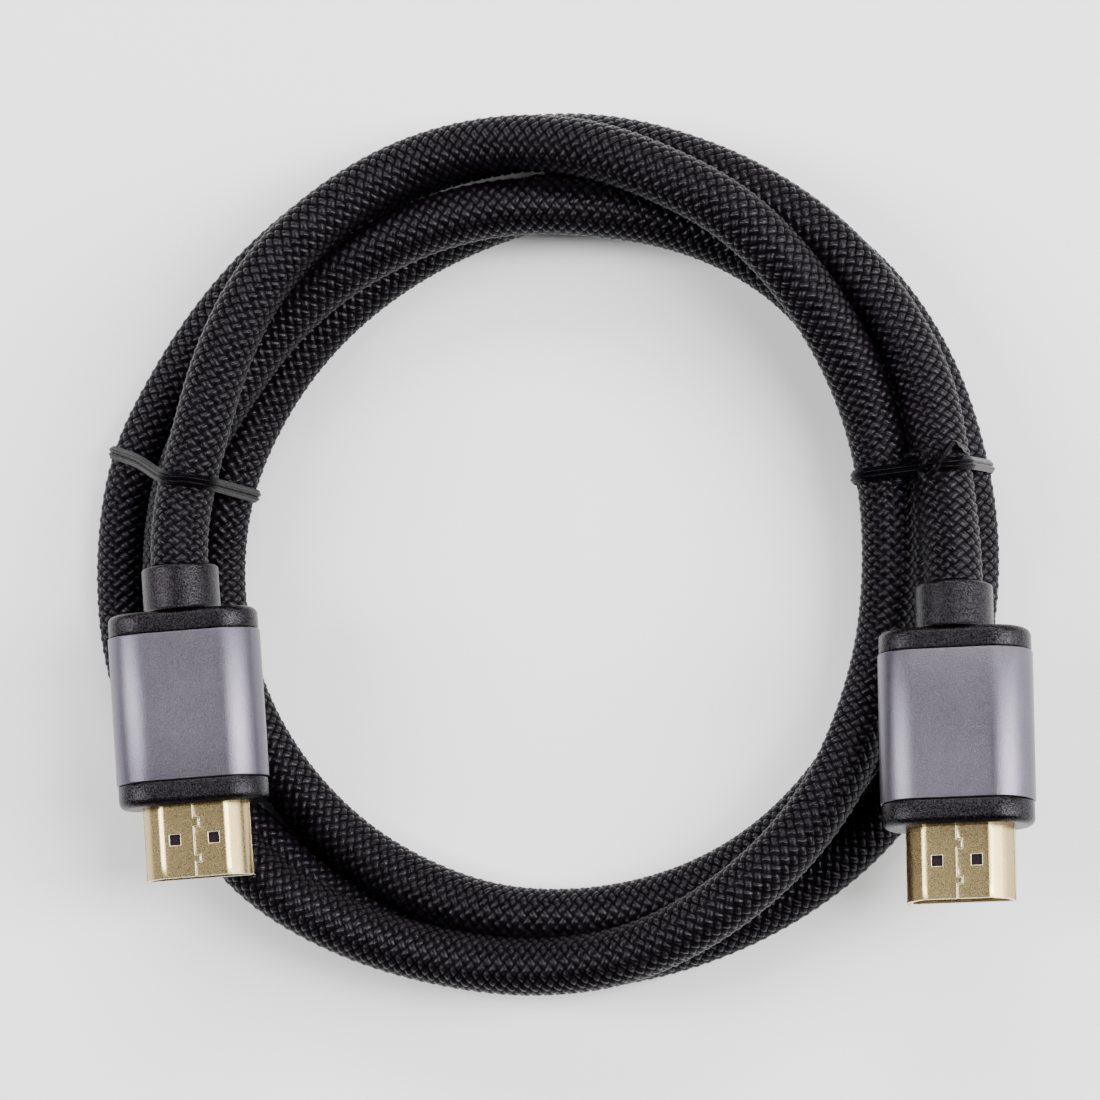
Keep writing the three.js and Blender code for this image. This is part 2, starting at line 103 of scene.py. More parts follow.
# The plugs. A plug's own frame has +X out of the mouth, +Z out of its narrow broad face and its
# origin in the middle of the mouth.
SHELL_EXPOSED = 9.3
FRONT_CAP_LENGTH = 2.85
FRONT_CAP_EDGE = 1.0
SLEEVE_LENGTH = 19.2
SLEEVE_WALL = 0.8
SLEEVE_EDGE = 0.14
REAR_CAP_LENGTH = 2.6
REAR_CAP_EDGE = 0.9
COLLAR_LENGTH = 5.9
COLLAR_RADIUS = 5.0
COLLAR_EDGE = 0.45
COLLAR_FOOT = 0.45
COLLAR_MOUTH_GAP = 0.1
COLLAR_MOUTH_DEPTH = 0.6
BODY_WIDTH = 19.8
BODY_THICKNESS = 10.4
BODY_CORNER = 5.0
CAP_INSET = 0.16
CAP_STEP = 0.06
CAP_FACE_RING = 1.0
SPIGOT_DEPTH = 1.0
RING_POINTS = 144
SHARP_ANGLE = 40.0
PLUG_LENGTH = (SHELL_EXPOSED + FRONT_CAP_LENGTH + SLEEVE_LENGTH + REAR_CAP_LENGTH
               + COLLAR_LENGTH + 2 * JOINT_GAP)
PLUG_SIDES = ("left", "right")
PLUG_POSES = {
    "left": {"collar_end": (-47.1, -1.9, 18.8), "yaw": 4.6, "pitch": 3.7, "roll": -3.4},
    "right": {"collar_end": (53.6, -5.0, 19.6), "yaw": 1.6, "pitch": 8.1, "roll": 3.8},
}

# The wire ties. Each is a ribbon wound twice round the passes, in a plane that leans off the
# radius at its angle round the coil.
TIE_WIDTH = 1.15
TIE_THICKNESS = 0.32
TIE_RIDGE = 0.24
TIE_RIDGE_REACH = 0.26
TIE_EDGE_THINNING = 0.55
TIE_POINTS = 28
TIE_GAP = 0.02
TIE_STEP = 0.25
TIE_RIM_POINTS = 72
TIE_TURN_STEP = 0.62
SECOND_TURN_LIFT = 0.45
TIE_OVERLAP_STEPS = 12
INNER_PASS_BIAS = 0.02
LEFT_TIE_SAG = 1.1
LEFT_TIE_SAG_REACH = 4.0
BUNDLE_RADIUS = 50.0
TIES = {
    "left": {"angle": 12.6, "lean": 0.1},
    "right": {"angle": 168.2, "lean": 0.12},
}

# The loose end of the right tie, twisted where it leaves the loop.
TIE_TAIL = [
    (45.8, 11.1, 19.6), (47.2, 11.0, 20.6), (48.3, 11.8, 21.4), (49.4, 12.4, 22.2),
    (50.2, 11.8, 22.6), (50.2, 10.6, 22.5), (49.5, 9.6, 22.0), (50.0, 9.1, 21.6),
    (51.0, 9.6, 21.8), (52.0, 10.9, 22.0), (52.9, 12.3, 21.6), (53.6, 13.2, 20.8),
    (54.3, 12.9, 19.4), (54.8, 12.4, 17.6),
]
TAIL_STEP = 0.1
TAIL_TWISTS = 1.25
TAIL_TWIST_SHARE = 0.7

# The braid. Its carriers cross on a lattice of diamonds, one crossing high in each.
CARRIERS_EACH_WAY = 12
CROSSING_PITCH = 1.5
CELL_STEPS = 4
POINTS_PER_ROW = CARRIERS_EACH_WAY * CELL_STEPS
BRAID_LOW = 3.48
BRAID_HIGH = 3.80
BRAID_BULGE = 0.085
BRAID_SECTIONS = 4
YARN_ROUND_ACROSS = 2.6
YARN_ROUND_ALONG = 3.0
JACKET_RADIUS = 3.15
JACKET_SIDES = 16

# The yarns' texture space: the size of a crossing there, and how far the next yarn and the next
# crossings are shifted, so that no two show the same fibres.
YARN_ACROSS = 1.19
YARN_ALONG = 1.23
OTHER_WAY_SHIFT = 7.0
CROSSING_SHIFTS = (3.7, 1.3)
TONE_SEED = 11
TONE_TABLE = (97, 89)

FLOOR_REACH = 3.0


def radians(degrees):
    return degrees * math.pi / 180


def plug_matrix(side):
    pose = PLUG_POSES[side]
    return (Matrix.Translation(pose["collar_end"])
            @ Matrix.Rotation(radians(pose["yaw"] - 90), 4, "Z")
            @ Matrix.Rotation(radians(-pose["pitch"]), 4, "Y")
            @ Matrix.Rotation(radians(pose["roll"]), 4, "X")
            @ Matrix.Translation((PLUG_LENGTH, 0, 0)))


def behind_plug(side, distance):
    return list(plug_matrix(side) @ Vector((-PLUG_LENGTH - distance, 0, 0)))


def route_points():
    """The cable's stations from the left collar to the right one, in millimetres."""
    coil = [[-r * math.cos(radians(a)), r * math.sin(radians(a)), z] for a, r, z in ROUTE]
    lead = JOINT_GAP + STRAIGHT_LEAD
    return np.array([behind_plug("left", CABLE_END_GAP), behind_plug("left", lead)] + coil
                    + [behind_plug("right", lead), behind_plug("right", CABLE_END_GAP)])


def centripetal_curve(points, per_span=60):
    """Points along the centripetal Catmull-Rom curve through the given ones."""
    ends = np.vstack([2 * points[0] - points[1], points, 2 * points[-1] - points[-2]])
    t = np.linspace(0, 1, per_span, endpoint=False)[:, None]
    out = []
    for k in range(len(points) - 1):
        p0, p1, p2, p3 = ends[k:k + 4]
        d0, d1, d2 = (math.sqrt(np.linalg.norm(b - a)) for a, b in ((p0, p1), (p1, p2), (p2, p3)))
        leave = ((p1 - p0) / d0 - (p2 - p0) / (d0 + d1) + (p2 - p1) / d1) * d1
        reach = ((p2 - p1) / d1 - (p3 - p1) / (d1 + d2) + (p3 - p2) / d2) * d1
        out.append(p1 + leave * t + (3 * (p2 - p1) - 2 * leave - reach) * t ** 2
                   + (2 * (p1 - p2) + leave + reach) * t ** 3)
    out.append(points[-1:])
    return np.vstack(out)


def resample(points, step):
    """The same line in even steps, and the distance of each point from its start."""
    along = np.concatenate([[0], np.cumsum(np.linalg.norm(np.diff(points, axis=0), axis=1))])
    count = max(2, round(along[-1] / step)) + 1
    wanted = np.linspace(0, along[-1], count)
    return np.stack([np.interp(wanted, along, points[:, k]) for k in range(3)], axis=1), wanted


def smoothed(points, reach):
    """Evens out the bends over a few steps and keeps both ends where they are."""
    kernel = np.exp(-0.5 * (np.arange(-3 * reach, 3 * reach + 1) / reach) ** 2)
    kernel /= kernel.sum()
    pad = 3 * reach
    lead_in = 2 * points[0] - points[pad:0:-1]
    lead_out = 2 * points[-1] - points[-2:-pad - 2:-1]
    padded = np.vstack([lead_in, points, lead_out])
    return np.stack([np.convolve(padded[:, k], kernel, mode="valid") for k in range(3)], axis=1)


def carried_frames(points):
    """A tangent and two normals at each point, turned as little as the bends allow."""
    tangents = np.gradient(points, axis=0)
    tangents /= np.linalg.norm(tangents, axis=1)[:, None]
    first = np.empty_like(points)
    side = np.cross(tangents[0], [0.0, 0.0, 1.0])
    first[0] = side / np.linalg.norm(side)
    for k in range(1, len(points)):
        turned = first[k - 1] - tangents[k] * np.dot(first[k - 1], tangents[k])
        first[k] = turned / np.linalg.norm(turned)
    return tangents, first, np.cross(tangents, first)


def coil_shift():
    """From the coil's own axis to the row's origin, read from the box of the left sleeve."""
    low, high = (np.array(corner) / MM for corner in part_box("left_sleeve"))
    from_mouth = SHELL_EXPOSED + FRONT_CAP_LENGTH + JOINT_GAP + SLEEVE_LENGTH / 2
    return (low + high) / 2 - np.array(plug_matrix("left") @ Vector((-from_mouth, 0, 0)))


SHIFT = coil_shift()


def to_row(points):
    return (np.asarray(points) + SHIFT) * MM


def link(name, mesh):
    piece = bpy.data.objects.new(name, mesh)
    bpy.context.scene.collection.objects.link(piece)
    return piece


def mesh_piece(name, vertices, faces, smooth=True):
    """A new object from arrays of points in millimetres in the coil's frame."""
    mesh = bpy.data.meshes.new(name)
    mesh.from_pydata(to_row(vertices).tolist(), [], faces)
    mesh.polygons.foreach_set("use_smooth", [smooth] * len(mesh.polygons))
    mesh.update()
    return link(name, mesh)


def tube_faces(rings, per_ring, closed=False):
    """Faces of a tube through rings of points, with flat ends unless it closes on itself."""
    faces = []
    for k in range(rings if closed else rings - 1):
        here, there = k * per_ring, (k + 1) % rings * per_ring
        for m in range(per_ring):
            n = (m + 1) % per_ring
            faces.append([here + m, here + n, there + n, there + m])
    if not closed:
        faces.append(list(range(per_ring))[::-1])
        faces.append([(rings - 1) * per_ring + m for m in range(per_ring)])
    return faces


def turn_faces_outwards(piece):
    mesh = bmesh.new()
    mesh.from_mesh(piece.data)
    bmesh.ops.recalc_face_normals(mesh, faces=mesh.faces)
    mesh.to_mesh(piece.data)
    mesh.free()


# Camera.
def make_camera():
    data = bpy.data.cameras.new("camera")
    data.sensor_width = SENSOR_WIDTH
    data.lens = FOCAL_PIXELS * SENSOR_WIDTH / IMAGE_PIXELS
    data.clip_end = 10
    camera = bpy.data.objects.new("camera", data)
    bpy.context.scene.collection.objects.link(camera)
    aim = Vector(to_row(AIM))
    lean_x = math.tan(radians(LEAN_TOWARDS_RIGHT))
    lean_y = -math.tan(radians(LEAN_TOWARDS_FRONT))
    back = Vector((lean_x, lean_y, 1)).normalized()
    camera.location = aim + back * (VIEW_DISTANCE - AIM[2]) * MM
    up = Vector((0, 1, 0))
    right = up.cross(back).normalized()
    turn = Matrix((right, back.cross(right), back)).transposed()
    camera.rotation_euler = turn.to_euler()
    bpy.context.scene.camera = camera


make_camera()

# Cable.
line, _ = resample(centripetal_curve(route_points()), ROUTE_STEP)
line = smoothed(line, BEND_SMOOTHING_STEPS)
line, line_at = resample(line, ROUTE_STEP)
_, line_sides, line_tops = carried_frames(line)
CABLE_LENGTH = float(line_at[-1])


def at_distance(values, distance):
    return np.stack([np.interp(distance, line_at, values[:, k]) for k in range(3)], axis=-1)


def round_cable(turn, distance, radius):
    """Points at turns round the centre line, at distances along it and at a radius."""
    spokes = (np.cos(turn)[:, None] * at_distance(line_sides, distance)
              + np.sin(turn)[:, None] * at_distance(line_tops, distance))
    return at_distance(line, distance) + spokes * radius[:, None]


def make_cord():
    """The inner jacket, a plain tube that the braid covers."""
    rings = round(CABLE_LENGTH)
    distance = np.repeat(np.linspace(0, CABLE_LENGTH, rings), JACKET_SIDES)
    turn = np.tile(np.linspace(0, 2 * np.pi, JACKET_SIDES, endpoint=False), rings)
    vertices = round_cable(turn, distance, np.full(len(turn), JACKET_RADIUS))
    return mesh_piece("cable_jacket", vertices, tube_faces(rings, JACKET_SIDES))


def lattice_places(rows):
    """Each point's place across the two families of yarns, counted in yarns."""
    q = np.repeat(rows, POINTS_PER_ROW)
    p = 2 * np.tile(np.arange(POINTS_PER_ROW), len(rows)) + q % 2
    return (p - q) / (2 * CELL_STEPS), (p + q) / (2 * CELL_STEPS)


def yarn_height(a, b):
    """From 0 in the crevices to 1 on the crown of the yarn that lies on top."""
    from_a = np.abs(a - np.round(a)) * 2
    from_b = np.abs(b - np.round(b)) * 2
    a_on_top = (np.round(a) + np.round(b)) % 2 == 0
    across = np.where(a_on_top, from_a, from_b)
    along = np.where(a_on_top, from_b, from_a)
    return np.clip((1 - across ** YARN_ROUND_ACROSS) * (1 - along ** YARN_ROUND_ALONG), 0, 1)


def braid_points(a, b, height, row_length):
    """The lattice laid round the cable, with each yarn swelling where it lies on top."""
    warp_a = BRAID_BULGE * np.sin(np.pi * a) * np.cos(np.pi * b)
    warp_b = -BRAID_BULGE * np.sin(np.pi * b) * np.cos(np.pi * a)
    turn = (a + b + warp_a + warp_b) * np.pi / CARRIERS_EACH_WAY
    distance = (b - a + warp_b - warp_a) * CELL_STEPS * row_length
    radius = BRAID_LOW + (BRAID_HIGH - BRAID_LOW) * height
    return round_cable(turn, np.clip(distance, 0, CABLE_LENGTH), radius)


def lattice_quads(rows):
    """The diamonds between each row and the two beside it."""
    inner = np.arange(1, len(rows) - 1)
    k = np.repeat(inner, POINTS_PER_ROW)
    m = np.tile(np.arange(POINTS_PER_ROW), len(inner))
    beside = (m + rows[k] % 2) % POINTS_PER_ROW
    left = k * POINTS_PER_ROW + m
    right = k * POINTS_PER_ROW + (m + 1) % POINTS_PER_ROW
    below = (k - 1) * POINTS_PER_ROW + beside
    above = (k + 1) * POINTS_PER_ROW + beside
    return np.stack([left, below, right, above], axis=1)


def braid_ends(points, rows):
    """A middle point for each end, and the triangles from it to the zigzag of the edge."""
    middles = []
    triangles = []
    for row, forward in ((0, False), (len(rows) - 2, True)):
        odd_row = int(rows[row]) % 2
        zigzag = []
        for m in range(POINTS_PER_ROW):
            zigzag.append(row * POINTS_PER_ROW + m)
            zigzag.append((row + 1) * POINTS_PER_ROW + (m + odd_row) % POINTS_PER_ROW)
        middle = len(points) + len(middles)
        middles.append(points[row * POINTS_PER_ROW:(row + 1) * POINTS_PER_ROW].mean(axis=0))
        for one, two in zip(zigzag, zigzag[1:] + zigzag[:1]):
            triangles.append([middle, one, two] if forward else [middle, two, one])
    return middles, triangles


def add_attribute(mesh, name, domain, values):
    attribute = mesh.attributes.new(name, "FLOAT", domain)
    attribute.data.foreach_set("value", values.astype(np.float32))


def mark_yarns(mesh, corner_a, corner_b, height):
    """Gives the faces their place along and across their yarn, a tone and a height."""
    cell_a = np.round(corner_a.mean(axis=1))
    cell_b = np.round(corner_b.mean(axis=1))
    a_on_top = ((cell_a + cell_b) % 2 == 0)[:, None]
    in_a = corner_a - cell_a[:, None]
    in_b = corner_b - cell_b[:, None]
    shift = cell_a * CROSSING_SHIFTS[0] + cell_b * CROSSING_SHIFTS[1]
    u = np.where(a_on_top, in_a, in_b) * YARN_ACROSS + np.where(a_on_top, 0.0, OTHER_WAY_SHIFT)
    v = np.where(a_on_top, in_b, in_a) * YARN_ALONG + shift[:, None]
    uv = np.zeros((len(mesh.loops), 2))
    uv[:u.size, 0] = u.reshape(-1)
    uv[:v.size, 1] = v.reshape(-1)
    layer = mesh.uv_layers.new(name="yarn")
    layer.uv.foreach_set("vector", uv.astype(np.float32).reshape(-1))

    depth = np.zeros(len(mesh.vertices))
    depth[:len(height)] = height
    add_attribute(mesh, "height", "POINT", depth)

    table = np.random.default_rng(TONE_SEED).random(TONE_TABLE)
    tone = np.full(len(mesh.polygons), 0.5)
    tone[:len(cell_a)] = table[cell_a.astype(int) % TONE_TABLE[0], cell_b.astype(int) % TONE_TABLE[1]]
    add_attribute(mesh, "tone", "FACE", tone)


def braid_section(index, first_row, last_row, row_length):
    """A closed tube of one stretch of the braid, whose faces follow the lattice of the yarns."""
    rows = np.arange(first_row - 1, last_row + 1)
    a, b = lattice_places(rows)
    height = yarn_height(a, b)
    points = braid_points(a, b, height, row_length)
    quads = lattice_quads(rows)
    middles, triangles = braid_ends(points, rows)
    piece = mesh_piece(f"braid_{index}", np.vstack([points, middles]), quads.tolist() + triangles)
    mark_yarns(piece.data, a[quads], b[quads], height)
    return piece


def make_braid():
    rows = round(CABLE_LENGTH / (CROSSING_PITCH / 2) * CELL_STEPS)
    rows -= rows % 2
    row_length = CABLE_LENGTH / rows
    edges = [2 * round(share * rows / 2) for share in np.linspace(0, 1, BRAID_SECTIONS + 1)]
    pieces = []
    for index, (first, last) in enumerate(zip(edges[:-1], edges[1:])):
        pieces.append(braid_section(index + 1, max(first, 1), last, row_length))
    return pieces


cable_jacket = make_cord()
braid = make_braid()


# Plugs. Every ring is cut at the same turns, so that a box section runs into a round one.
def ring_turns():
    even = np.linspace(0, 2 * np.pi, RING_POINTS, endpoint=False)
    slant = BODY_THICKNESS / BODY_WIDTH
    return np.arctan2(np.sin(even) * slant, np.cos(even)) % (2 * np.pi)


def box_ring(width, thickness, corner):
    """A rounded oblong in the plug's section, as (y, z) points."""
    turns = ring_turns()
    rays = np.stack([np.cos(turns), np.sin(turns)], axis=1)
    half = np.array([width / 2, thickness / 2])
    straight = (half / np.maximum(np.abs(rays), 1e-9)).min(axis=1)
    middle = np.maximum(half - corner, 0)
    along_ray = np.abs(rays) @ middle
    reach = along_ray + np.sqrt(np.maximum(along_ray ** 2 - middle @ middle + corner ** 2, 0))
    tip = np.abs(rays) * straight[:, None]
    in_corner = (tip > middle).all(axis=1)
    return rays * np.where(in_corner, np.minimum(reach, straight), straight)[:, None]


def round_ring(radius):
    turns = ring_turns()
    return np.stack([np.cos(turns), np.sin(turns)], axis=1) * radius


def rounded_steps(edge, steps=6):
    """Pairs of advance and inset along a quarter round, from its start to its end."""
    turns = np.linspace(0, np.pi / 2, steps + 1)
    return [(edge * math.sin(turn), edge * (1 - math.cos(turn))) for turn in turns]


def loft(name, side, rings, closed=False):
    """A solid through rings of (x, section), with flat ends unless it closes on itself."""
    local = np.vstack([np.column_stack([np.full(RING_POINTS, x), section]) for x, section in rings])
    turn = np.array(plug_matrix(side))
    faces = tube_faces(len(rings), RING_POINTS, closed)
    piece = mesh_piece(name, local @ turn[:3, :3].T + turn[:3, 3], faces)
    turn_faces_outwards(piece)
    piece.data.set_sharp_from_angle(angle=radians(SHARP_ANGLE))
    return piece


CAP_FACE = -SHELL_EXPOSED
CAP_BACK = CAP_FACE - FRONT_CAP_LENGTH
SLEEVE_FRONT = CAP_BACK - JOINT_GAP
SLEEVE_REAR = SLEEVE_FRONT - SLEEVE_LENGTH
REAR_CAP_FRONT = SLEEVE_REAR - JOINT_GAP
REAR_CAP_REAR = REAR_CAP_FRONT - REAR_CAP_LENGTH
COLLAR_REAR = REAR_CAP_REAR - COLLAR_LENGTH


def body_ring(inset):
    return box_ring(BODY_WIDTH - 2 * inset, BODY_THICKNESS - 2 * inset, BODY_CORNER - inset)


def spigot_rings(foot, end, way):
    """The rings of a cap's spigot, from its end inside the sleeve out to the cap's foot."""
    inside = body_ring(SLEEVE_WALL + JOINT_GAP)
    step = foot + way * JOINT_GAP / 2
    return [(end, inside), (step, inside), (step, body_ring(CAP_INSET + CAP_STEP)),
            (foot, body_ring(CAP_INSET))]


def make_sleeve(side):
    """The drawn metal tube round the middle of the plug."""
    outside = [(SLEEVE_REAR + SLEEVE_EDGE - step, body_ring(inset))
               for step, inset in reversed(rounded_steps(SLEEVE_EDGE, 3))]
    outside += [(SLEEVE_FRONT - SLEEVE_EDGE + step, body_ring(inset))
                for step, inset in rounded_steps(SLEEVE_EDGE, 3)]
    inside = [(SLEEVE_FRONT, body_ring(SLEEVE_WALL)), (SLEEVE_REAR, body_ring(SLEEVE_WALL))]
    return loft(f"{side}_metal_sleeve", side, outside + inside, closed=True)


def make_front_cap(side):
    """The moulded cap that the shell comes out of, with a soft front edge."""
    rings = spigot_rings(CAP_BACK, SLEEVE_FRONT - SPIGOT_DEPTH, -1)
    rings += [(CAP_FACE - FRONT_CAP_EDGE + step, body_ring(CAP_INSET + inset))
              for step, inset in rounded_steps(FRONT_CAP_EDGE)]
    rings.append((CAP_FACE, body_ring(CAP_INSET + FRONT_CAP_EDGE + CAP_FACE_RING)))
    return loft(f"{side}_moulded_front_cap", side, rings)


def make_overmould(side):
    """The rear cap and the strain relief, moulded in one, with a fillet where they meet."""
    rings = spigot_rings(REAR_CAP_FRONT, REAR_CAP_FRONT + SPIGOT_DEPTH, 1)
    rings += [(REAR_CAP_REAR + REAR_CAP_EDGE - step, body_ring(CAP_INSET + inset))
              for step, inset in rounded_steps(REAR_CAP_EDGE)]
    foot = COLLAR_RADIUS + COLLAR_FOOT
    rings += [(REAR_CAP_REAR, (body_ring(CAP_INSET + REAR_CAP_EDGE) + round_ring(foot)) / 2),
              (REAR_CAP_REAR, round_ring(foot))]
    rings += [(REAR_CAP_REAR - inset, round_ring(foot - step))
              for step, inset in rounded_steps(COLLAR_FOOT, 5)[1:]]
    rings += [(COLLAR_REAR + COLLAR_EDGE - step, round_ring(COLLAR_RADIUS - inset))
              for step, inset in rounded_steps(COLLAR_EDGE, 5)]
    rings.append((COLLAR_REAR, round_ring(CABLE_DIAMETER / 2 + COLLAR_MOUTH_GAP)))
    rings.append((COLLAR_REAR + COLLAR_MOUTH_DEPTH, round_ring(CABLE_DIAMETER / 2)))
    return loft(f"{side}_moulded_body", side, rings)


# Ties.
def tie_directions(tie):
    """The direction across the tie's plane and the one outwards from the coil's axis."""
    angle = radians(tie["angle"])
    return (np.array([math.sin(angle), math.cos(angle), 0]),
            np.array([-math.cos(angle), math.sin(angle), 0]))


def tie_crossings(tie):
    """Where the cable crosses the tie's plane, as (distance outwards, height)."""
    normal, outward = tie_directions(tie)
    out = line @ outward
    side = line @ normal - tie["lean"] * (out - BUNDLE_RADIUS)
    hits = np.nonzero((side[:-1] < 0) != (side[1:] < 0))[0]
    return [(out[k], line[k, 2]) for k in hits if out[k] > 0]


def hull(points):
    """The outer corners of a set of points in the plane, in order."""
    points = sorted(map(tuple, points))

    def chain(ordered):
        kept = []
        for q in ordered:
            while len(kept) > 1 and ((kept[-1][0] - kept[-2][0]) * (q[1] - kept[-2][1])
                                     - (kept[-1][1] - kept[-2][1]) * (q[0] - kept[-2][0])) <= 0:
                kept.pop()
            kept.append(q)
        return kept[:-1]

    return np.array(chain(points) + chain(points[::-1]))


def tie_path(tie, radius):
    """A taut loop round the passes, evenly spaced, as (distance outwards, height)."""
    rim = []
    for out, height in tie_crossings(tie):
        for turn in np.linspace(0, 2 * np.pi, TIE_RIM_POINTS, endpoint=False):
            rim.append((out + radius * math.cos(turn), height + radius * math.sin(turn)))
    loop = hull(rim)
    closed = np.vstack([loop, loop[:1]])
    flat = np.column_stack([closed, np.zeros(len(closed))])
    return resample(flat, TIE_STEP)[0][:-1, :2]


def place_on_tie(tie, points, sideways):
    """Points of the tie's plane in the coil's frame, moved sideways off that plane."""
    normal, outward = tie_directions(tie)
    offset = sideways + tie["lean"] * (points[:, 0] - BUNDLE_RADIUS)
    return (points[:, :1] * outward + offset[:, None] * normal
            + points[:, 1:] * np.array([0, 0, 1.0]))


def ribbon(path, normals, twist=None):
    """A flat plastic ribbon with the round of its wire along the middle, as points and faces."""
    turns = np.linspace(0, 2 * np.pi, TIE_POINTS, endpoint=False)
    across = np.cos(turns) * TIE_WIDTH / 2
    lift = np.sin(turns) * TIE_THICKNESS / 2 * (1 - TIE_EDGE_THINNING * np.abs(np.cos(turns)) ** 3)
    ridge = TIE_RIDGE * np.exp(-(across / TIE_RIDGE_REACH) ** 2)
    lift += np.sign(np.sin(turns)) * ridge * np.abs(np.sin(turns))
    tangents = np.gradient(path, axis=0)
    tangents /= np.linalg.norm(tangents, axis=1)[:, None]
    normals = normals - tangents * (normals * tangents).sum(axis=1)[:, None]
    normals /= np.linalg.norm(normals, axis=1)[:, None]
    sideways = np.cross(tangents, normals)
    if twist is not None:
        c, s = np.cos(twist)[:, None], np.sin(twist)[:, None]
        normals, sideways = normals * c + sideways * s, sideways * c - normals * s
    vertices = (path[:, None, :] + across[None, :, None] * sideways[:, None, :]
                + lift[None, :, None] * normals[:, None, :]).reshape(-1, 3)
    return vertices, tube_faces(len(path), TIE_POINTS)


def solid_piece(name, parts):
    """One object from several closed meshes, with all normals outwards."""
    vertices = np.vstack([points for points, _ in parts])
    starts = np.cumsum([0] + [len(points) for points, _ in parts])
    faces = [[v + start for v in face] for (_, own), start in zip(parts, starts) for face in own]
    piece = mesh_piece(name, vertices, faces)
    turn_faces_outwards(piece)
    return piece


def tie_loop(side):
    """Two turns of ribbon, side by side, with the ends meeting under the bundle."""
    tie = TIES[side]
    loop = tie_path(tie, BRAID_HIGH + TIE_THICKNESS / 2 + TIE_GAP)
    start = int(np.argmin(loop[:, 1] + INNER_PASS_BIAS * loop[:, 0]))
    loop = np.roll(loop, -start, axis=0)
    turns = np.vstack([loop, loop, loop[:TIE_OVERLAP_STEPS]])
    share = np.arange(len(turns)) / len(loop)
    middle = loop.mean(axis=0)
    outwards = turns - middle
    outwards /= np.linalg.norm(outwards, axis=1)[:, None]
    sideways = (share - 1.0) * TIE_TURN_STEP
    if side == "left":
        near_middle = np.exp(-((turns[:, 0] - middle[0]) / LEFT_TIE_SAG_REACH) ** 2)
        sideways = sideways - LEFT_TIE_SAG * near_middle * (turns[:, 1] > middle[1])
    lift = TIE_THICKNESS * SECOND_TURN_LIFT * np.clip(share - 0.5, 0, 1)
    turns = turns + outwards * lift[:, None]
    path = place_on_tie(tie, turns, sideways)
    return ribbon(path, place_on_tie(tie, turns + outwards, sideways) - path)


def tie_tail():
    """The loose end of the right tie."""
    path, _ = resample(centripetal_curve(np.array(TIE_TAIL)), TAIL_STEP)
    share = np.linspace(0, 1, len(path))
    twist = 2 * np.pi * TAIL_TWISTS * np.clip(share / TAIL_TWIST_SHARE, 0, 1)
    upwards = np.tile([0.0, 0.0, 1.0], (len(path), 1))
    return ribbon(path, upwards, twist)


def make_tie(side):
    tail = [tie_tail()] if side == "right" else []
    return solid_piece(f"{side}_wire_tie", [tie_loop(side)] + tail)


# The shells. A shell is bent from sheet, so it is built as a grid on its outline and thickened.
SHELL_WIDTH = 13.9
SHELL_HEIGHT = 4.45
SHELL_FLAT_WIDTH = 8.5
SHELL_SIDE_HEIGHT = 2.3
SHELL_SHEET = 0.35
SHELL_BURIED = 5.5
SHELL_BENDS = (0.5, 1.8, 0.9, 0.9, 1.8, 0.5)
BEND_STEPS = 7
WINDOW_SIZE = 1.4
WINDOW_SPACING = 5.05
WINDOW_FROM_MOUTH = 4.9
SEAM_WIDTH = 0.09
SEAM_STEP = 0.7
SEAM_TABS = ((1.9, 2.85), (6.45, 7.6))
SHEET_EDGE = 0.06
SHEET_EDGE_ANGLE = 60.0


def shell_outline():
    """Points round the shell from one end of its narrow face to the other, as (y, z). The narrow
    face itself stays open here, because the grid adds its points."""
    flat, wide = SHELL_FLAT_WIDTH / 2, SHELL_WIDTH / 2
    low, high = -SHELL_HEIGHT / 2, SHELL_HEIGHT / 2
    shoulder = low + SHELL_SIDE_HEIGHT
    corners = np.array([(flat, high), (wide, shoulder), (wide, low), (-wide, low),
                        (-wide, shoulder), (-flat, high)])
    outline = []
    for k, (corner, bend) in enumerate(zip(corners, SHELL_BENDS)):
        before = corners[k - 1] - corner
        after = corners[(k + 1) % len(corners)] - corner
        before /= np.linalg.norm(before)
        after /= np.linalg.norm(after)
        for t in np.linspace(0, 1, BEND_STEPS):
            start, end = corner + before * bend, corner + after * bend
            outline.append((1 - t) ** 2 * start + 2 * t * (1 - t) * corner + t ** 2 * end)
    return np.array(outline)


def face_lines():
    """Places across the narrow face where the seam and the windows need an edge."""
    half_seam, half_window = SEAM_WIDTH / 2, WINDOW_SIZE / 2
    places = [-half_seam, half_seam, SEAM_STEP - half_seam, SEAM_STEP + half_seam]
    for middle in (-WINDOW_SPACING / 2, WINDOW_SPACING / 2):
        places += [middle - half_window, middle + half_window]
    return sorted(places)


def length_lines():
    """Places along the shell where the windows and the tabs need an edge, and both ends."""
    places = [-SHELL_EXPOSED - SHELL_BURIED, -SHELL_EXPOSED, 0.0]
    places += [-WINDOW_FROM_MOUTH - WINDOW_SIZE / 2, -WINDOW_FROM_MOUTH + WINDOW_SIZE / 2]
    for tab in SEAM_TABS:
        for end in tab:
            places += [-end - SEAM_WIDTH / 2, -end + SEAM_WIDTH / 2]
    return sorted(places)


